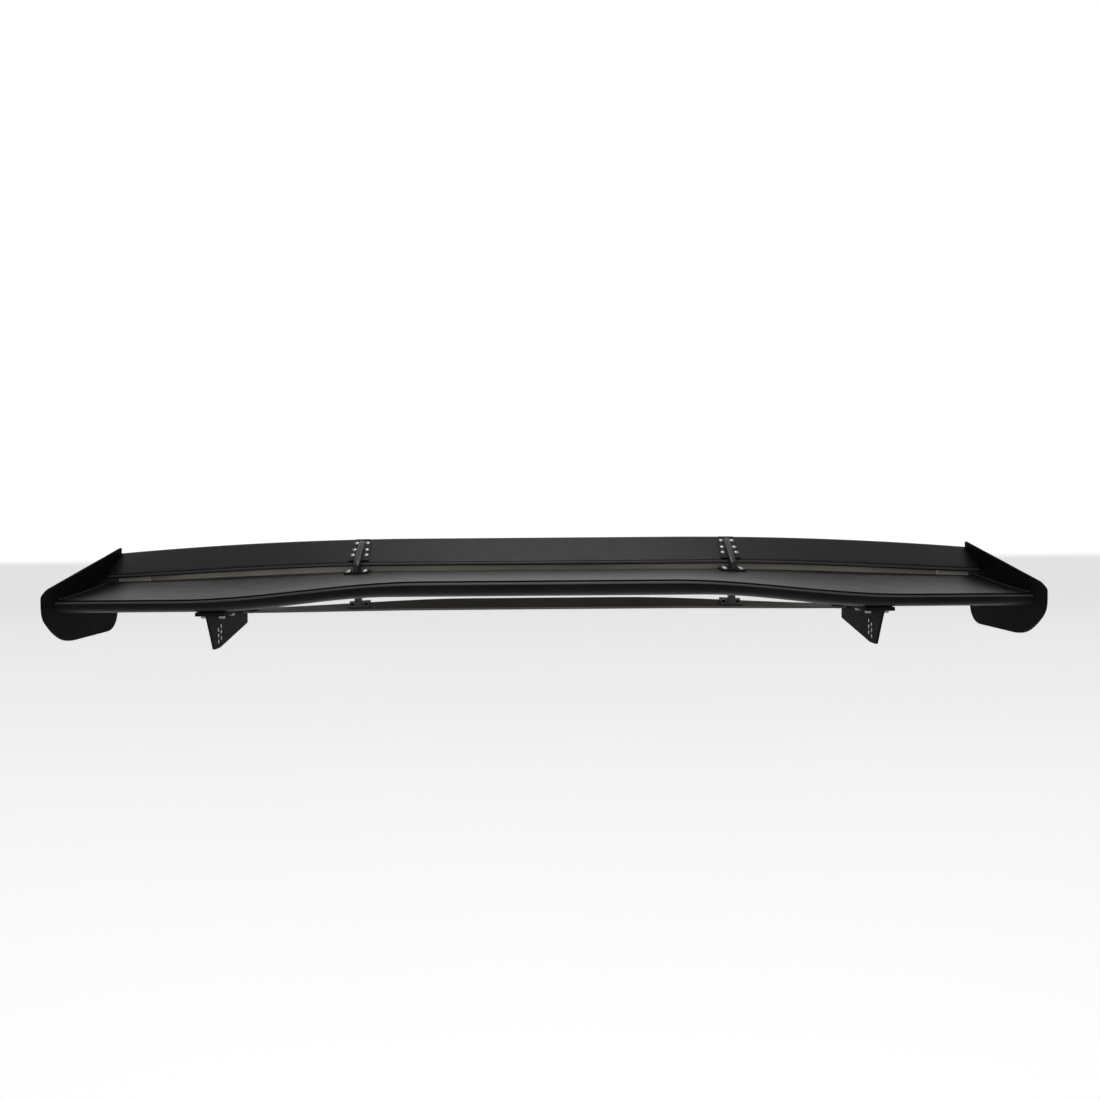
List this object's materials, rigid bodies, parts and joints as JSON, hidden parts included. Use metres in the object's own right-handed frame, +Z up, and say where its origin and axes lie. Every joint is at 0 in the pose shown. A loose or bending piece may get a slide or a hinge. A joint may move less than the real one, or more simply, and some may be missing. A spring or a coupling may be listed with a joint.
{
  "type": "racing rear wing",
  "caption": "Two-element racing rear wing with a raised centre, slotted flap on T brackets, endplates, lower cross blade and drilled mount plates.",
  "frame": {"origin": "under the middle of the wing, level with the lower tips of the mount plates and half-way along the endplates", "axes": "+X along the span to the right as seen from the front, +Y from the nose to the trailing edge, +Z up"},
  "size_m": [1.5, 0.33, 0.1669],
  "materials": {
    "gelcoat": "satin black gel coat on fibreglass",
    "laminate_core": "raw fibreglass laminate",
    "trim_strip": "matt dark bronze grey",
    "strip_ends": "matt grey brown",
    "sealant": "satin",
    "zinc_fasteners": "bright zinc plated",
    "black_screws": "black oxide",
    "backing_steel": "bare steel",
    "coated_brackets": "satin black powder coat"
  },
  "bodies": {
    "root": {"blade_tab_bolts_left": "black_screws", "blade_tab_bolts_right": "black_screws", "blade_tab_left": "coated_brackets", "blade_tab_nuts_left": "black_screws", "blade_tab_nuts_right": "black_screws", "blade_tab_right": "coated_brackets", "cross_blade": "coated_brackets", "endplate_flap_screws_left": "black_screws", "endplate_flap_screws_right": "black_screws", "endplate_left": "gelcoat", "endplate_main_screws_left": "black_screws", "endplate_main_screws_right": "black_screws", "endplate_right": "gelcoat", "flap_end_rib_left": "laminate_core", "flap_end_rib_right": "laminate_core", "flap_lower_skin": "gelcoat", "flap_spar": "laminate_core", "flap_upper_skin": "gelcoat", "lower_strut_left": "coated_brackets", "lower_strut_right": "coated_brackets", "main_end_rib_left": "laminate_core", "main_end_rib_right": "laminate_core", "main_lower_skin": "gelcoat", "main_spar": "laminate_core", "main_upper_skin": "gelcoat", "mount_backing_plate_left": "backing_steel", "mount_backing_plate_right": "backing_steel", "mount_bolts_left": "zinc_fasteners", "mount_bolts_right": "zinc_fasteners", "mount_bracket_left": "coated_brackets", "mount_bracket_right": "coated_brackets", "mount_nuts_left": "zinc_fasteners", "mount_nuts_right": "zinc_fasteners", "mount_washers_left": "zinc_fasteners", "mount_washers_right": "zinc_fasteners", "sealant_bead_left": "sealant", "sealant_bead_right": "sealant", "seam_strip": "laminate_core", "slot_bracket_left": "coated_brackets", "slot_bracket_right": "coated_brackets", "slot_bracket_rivets_left": "zinc_fasteners", "slot_bracket_rivets_right": "zinc_fasteners", "slot_foot_bolts_left": "zinc_fasteners", "slot_foot_bolts_right": "zinc_fasteners", "slot_foot_inserts_left": "zinc_fasteners", "slot_foot_inserts_right": "zinc_fasteners", "strip_end_left": "strip_ends", "strip_end_right": "strip_ends", "strut_foot_rivets_left": "black_screws", "strut_foot_rivets_right": "black_screws", "strut_head_rivets_left": "black_screws", "strut_head_rivets_right": "black_screws", "trim_strip": "trim_strip"}
  },
  "joints": []
}
